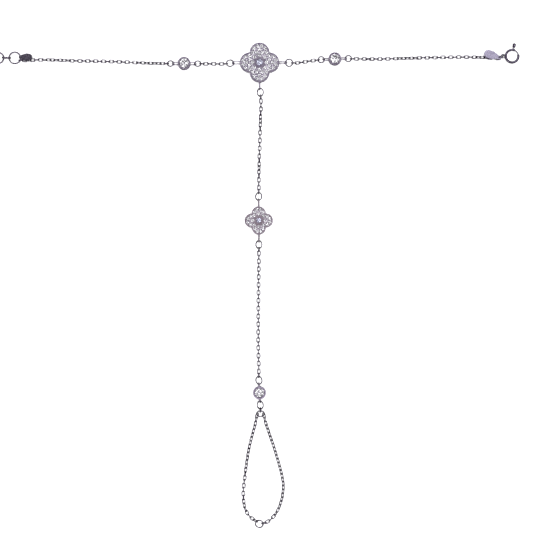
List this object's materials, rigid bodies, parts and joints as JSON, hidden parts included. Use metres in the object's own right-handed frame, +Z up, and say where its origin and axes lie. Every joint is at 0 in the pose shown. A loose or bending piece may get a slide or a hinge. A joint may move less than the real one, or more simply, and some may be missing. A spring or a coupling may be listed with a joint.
{
  "type": "hand chain bracelet",
  "caption": "Hand chain bracelet: fine wrist chain with a clasp and extension rings, and a hand chain with a finger loop, set with two clovers and round stones.",
  "frame": {"origin": "middle of the large clover's flat back, on the table that the piece lies on", "axes": "+X along the wrist chain towards the clasp, +Y away from the finger loop, +Z up off the table"},
  "size_m": [0.1755, 0.1616, 0.0022],
  "materials": {
    "polished_metal": "polished white metal",
    "chain_metal": "polished white metal wire",
    "tag_metal": "fine satin white metal",
    "clear_stone": "clear cut stone",
    "tinted_stone": "cut stone with a faint blue cast"
  },
  "bodies": {
    "bracelet": {"big_clover_setting": "polished_metal", "small_clover_setting": "polished_metal", "left_bezel_cup": "polished_metal", "right_bezel_cup": "polished_metal", "drop_bezel_cup": "polished_metal", "big_clover_centre_stone": "tinted_stone", "big_clover_pave": "clear_stone", "small_clover_centre_stone": "tinted_stone", "small_clover_pave": "clear_stone", "left_bezel_stone": "clear_stone", "right_bezel_stone": "clear_stone", "drop_bezel_stone": "clear_stone", "left_inner_chain": "chain_metal", "left_outer_chain": "chain_metal", "right_inner_chain": "chain_metal", "right_outer_chain": "chain_metal", "upper_hand_chain": "chain_metal", "lower_hand_chain": "chain_metal", "left_clover_ring": "polished_metal", "left_stone_inner_ring": "polished_metal", "left_stone_outer_ring": "polished_metal", "right_clover_ring": "polished_metal", "right_stone_inner_ring": "polished_metal", "right_stone_outer_ring": "polished_metal", "extension_link": "polished_metal", "clasp_ring": "polished_metal", "hand_top_ring": "polished_metal", "small_clover_top_ring": "polished_metal", "small_clover_bottom_ring": "polished_metal", "drop_top_ring": "polished_metal", "drop_bottom_ring": "polished_metal", "finger_link": "polished_metal", "finger_ring": "polished_metal", "finger_closing_ring": "polished_metal", "near_extension_ring": "polished_metal", "end_extension_ring": "polished_metal", "clasp_body": "polished_metal", "left_tag": "tag_metal", "right_tag": "tag_metal", "finger_strand_left": "chain_metal", "finger_strand_right": "chain_metal"},
    "bolt": {"clasp_bolt": "polished_metal"}
  },
  "joints": [
    {"name": "bolt_slide", "type": "hinge", "parent": "bracelet", "child": "bolt", "pos_m": [0.0841, 0.0022, 0.00056], "axis": [0, 0, 1], "range_deg": [0, 50], "stiffness_Nm_per_rad": 0.0005, "springref_deg": -17.19}
  ]
}
